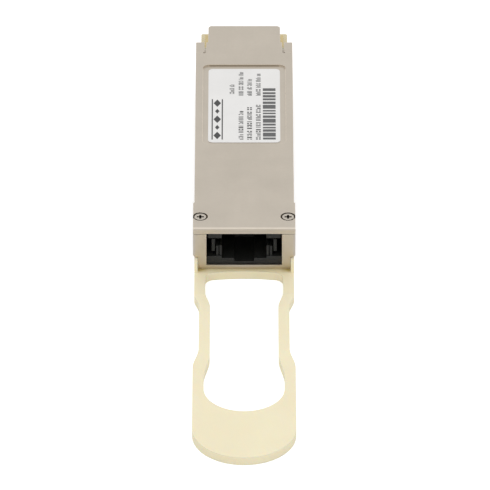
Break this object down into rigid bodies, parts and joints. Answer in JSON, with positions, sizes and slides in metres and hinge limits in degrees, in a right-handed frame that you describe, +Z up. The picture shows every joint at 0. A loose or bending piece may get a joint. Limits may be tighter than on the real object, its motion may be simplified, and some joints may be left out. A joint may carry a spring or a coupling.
{
  "type": "optical transceiver module",
  "caption": "Slim metal plug-in optical transceiver with a fibre port, a card edge and a sprung loop pull tab.",
  "frame": {"origin": "centre of the outline at the lowest face, which is the underside of the pull tab", "axes": "+Y from the pull tab to the host end, +Z up through the label face, +X to the right when looking along +Y"},
  "size_m": [0.0188, 0.135, 0.0106],
  "materials": {
    "zinc": "fine satin nickel plate on die-cast zinc",
    "label": "matt printed film",
    "screw_steel": "plated steel",
    "gasket": "conductive elastomer",
    "spring_steel": "stamped stainless",
    "tab_plastic": "satin moulded thermoplastic",
    "black_plastic": "moulded black thermoplastic",
    "ferrule_plastic": "filled moulding, polished face",
    "pin_steel": "ground stainless",
    "ribbon": "coated fibre ribbon",
    "lens_plastic": "clear amber optical moulding",
    "die": "polished semiconductor",
    "chip_body": "moulded package",
    "thermal_pad": "soft gap filler",
    "ceramic": "ceramic with tinned ends",
    "laminate": "solder mask over laminate",
    "gold": "hard gold plate"
  },
  "bodies": {
    "housing": {"bottom_shell": "zinc", "top_shell": "zinc", "label": "label", "cover_screws": "screw_steel", "rear_screws": "screw_steel", "shell_gasket": "gasket", "latch_spring_left": "spring_steel", "latch_spring_right": "spring_steel", "mpo_receptacle": "black_plastic", "mt_ferrule": "ferrule_plastic", "guide_pins": "pin_steel", "pin_clamp": "pin_steel", "fibre_ribbon": "ribbon", "lens_block": "lens_plastic", "vcsel_array": "die", "photodiode_array": "die", "laser_driver": "chip_body", "receiver_amplifier": "chip_body", "thermal_pad": "thermal_pad", "microcontroller": "chip_body", "power_inductors": "chip_body", "chip_capacitors": "ceramic", "chip_resistors": "chip_body", "main_board": "laminate", "card_contacts_top": "gold", "card_contacts_bottom": "gold"},
    "latch": {"latch_slider": "spring_steel", "pull_tab": "tab_plastic"},
    "hook_left": {"mpo_latch_left": "black_plastic"},
    "hook_right": {"mpo_latch_right": "black_plastic"}
  },
  "joints": [
    {"name": "latch_slide", "type": "slide", "parent": "housing", "child": "latch", "axis": [0, -1, 0], "range_m": [0, 0.0026], "stiffness_N_per_m": 800, "springref_m": -0.002, "deforming": ["latch_spring_left", "latch_spring_right"]},
    {"name": "hook_left_flex", "type": "hinge", "parent": "housing", "child": "hook_left", "pos_m": [-0.00565, 0.00282, 0.0063], "axis": [0, 0, 1], "range_deg": [-3.5, 0], "stiffness_Nm_per_rad": 0.05},
    {"name": "hook_right_flex", "type": "hinge", "parent": "housing", "child": "hook_right", "pos_m": [0.00565, 0.00282, 0.0063], "axis": [0, 0, 1], "range_deg": [0, 3.5], "stiffness_Nm_per_rad": 0.05}
  ]
}
